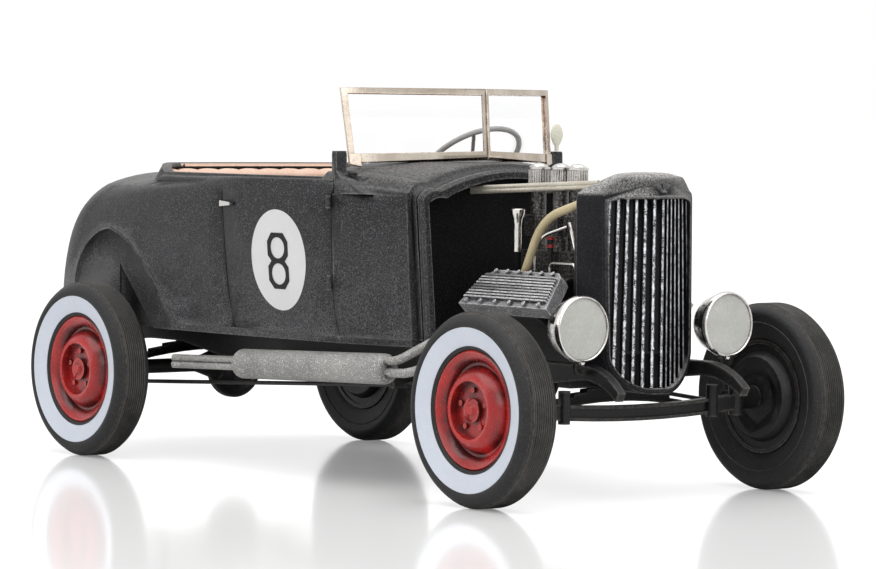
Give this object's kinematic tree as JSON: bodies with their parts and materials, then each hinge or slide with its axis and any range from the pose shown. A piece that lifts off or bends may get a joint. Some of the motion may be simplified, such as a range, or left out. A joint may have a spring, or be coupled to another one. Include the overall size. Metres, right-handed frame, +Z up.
{
  "type": "scale model hot rod",
  "caption": "Small-scale display model of a black open two-seat hot rod with red wheels, white sidewalls, open engine and a V windscreen.",
  "frame": {"origin": "on the ground, under the middle of the overall length and width", "axes": "+X towards the nose, +Y to the car's left, +Z up"},
  "size_m": [0.0431, 0.0194, 0.0183],
  "materials": {
    "body_paint": "matte charcoal black paint with a fine grain",
    "chassis_black": "satin black moulded plastic",
    "tan_trim": "tan paint on moulded upholstery",
    "cast_silver": "coarse silver paint",
    "bright_metal": "plated parts",
    "hose_tan": "tan gold hose",
    "grille_silver": "black insert with silver brushed bars",
    "lens": "pale grey blank lens disc",
    "screen_frame": "etched nickel brass",
    "clear_pane": "clear film",
    "mirror_back": "cream oval mirror",
    "wheel_grey": "dark grey steering wheel and column",
    "tyre": "dark grey rubber with a white sidewall ring",
    "cap_red": "red moulded caps",
    "rim_red": "red painted wheel"
  },
  "bodies": {
    "car": {"body_shell": "body_paint", "firewall": "body_paint", "floor_pan": "body_paint", "seat_cushion": "tan_trim", "seat_back": "tan_trim", "door_trims": "tan_trim", "dashboard": "body_paint", "rail_left": "chassis_black", "rail_right": "chassis_black", "crossmembers": "chassis_black", "gearbox": "chassis_black", "driveshaft": "chassis_black", "engine_block": "chassis_black", "cylinder_head_left": "cast_silver", "cylinder_head_right": "cast_silver", "intake_manifold": "cast_silver", "air_filters": "bright_metal", "oil_breather": "bright_metal", "coolant_hoses": "hose_tan", "fan": "bright_metal", "grille_shell": "body_paint", "grille_insert": "grille_silver", "radiator": "chassis_black", "headlamp_left": "bright_metal", "headlamp_right": "bright_metal", "headlamp_lenses": "lens", "lamp_brackets": "chassis_black", "windscreen_frame": "screen_frame", "windscreen_panes": "clear_pane", "mirror": "mirror_back", "steering_wheel": "wheel_grey", "steering_column": "wheel_grey", "exhaust_left": "cast_silver", "exhaust_right": "cast_silver", "front_axle": "chassis_black", "rear_axle": "chassis_black", "front_spring": "chassis_black", "rear_spring": "chassis_black", "radius_rods": "chassis_black", "tie_rod": "chassis_black", "door_handles": "bright_metal", "hood_rods": "bright_metal", "door_hinges": "body_paint", "distributor": "cap_red", "engine_pipes": "bright_metal"},
    "wheel_front_left": {"tyre_front_left": "tyre", "rim_front_left": "rim_red", "drum_front_left": "chassis_black"},
    "wheel_front_right": {"tyre_front_right": "tyre", "rim_front_right": "rim_red", "drum_front_right": "chassis_black"},
    "wheel_rear_left": {"tyre_rear_left": "tyre", "rim_rear_left": "rim_red", "drum_rear_left": "chassis_black"},
    "wheel_rear_right": {"tyre_rear_right": "tyre", "rim_rear_right": "rim_red", "drum_rear_right": "chassis_black"}
  },
  "joints": [
    {"name": "wheel_front_left_spin", "type": "hinge", "parent": "car", "child": "wheel_front_left", "pos_m": [0.01722, 0.0085, 0.00431], "axis": [0, 1, 0], "continuous": true},
    {"name": "wheel_front_right_spin", "type": "hinge", "parent": "car", "child": "wheel_front_right", "pos_m": [0.01722, -0.0085, 0.00431], "axis": [0, 1, 0], "continuous": true},
    {"name": "wheel_rear_left_spin", "type": "hinge", "parent": "car", "child": "wheel_rear_left", "pos_m": [-0.01373, 0.00877, 0.00431], "axis": [0, 1, 0], "continuous": true},
    {"name": "wheel_rear_right_spin", "type": "hinge", "parent": "car", "child": "wheel_rear_right", "pos_m": [-0.01373, -0.00877, 0.00431], "axis": [0, 1, 0], "continuous": true}
  ]
}
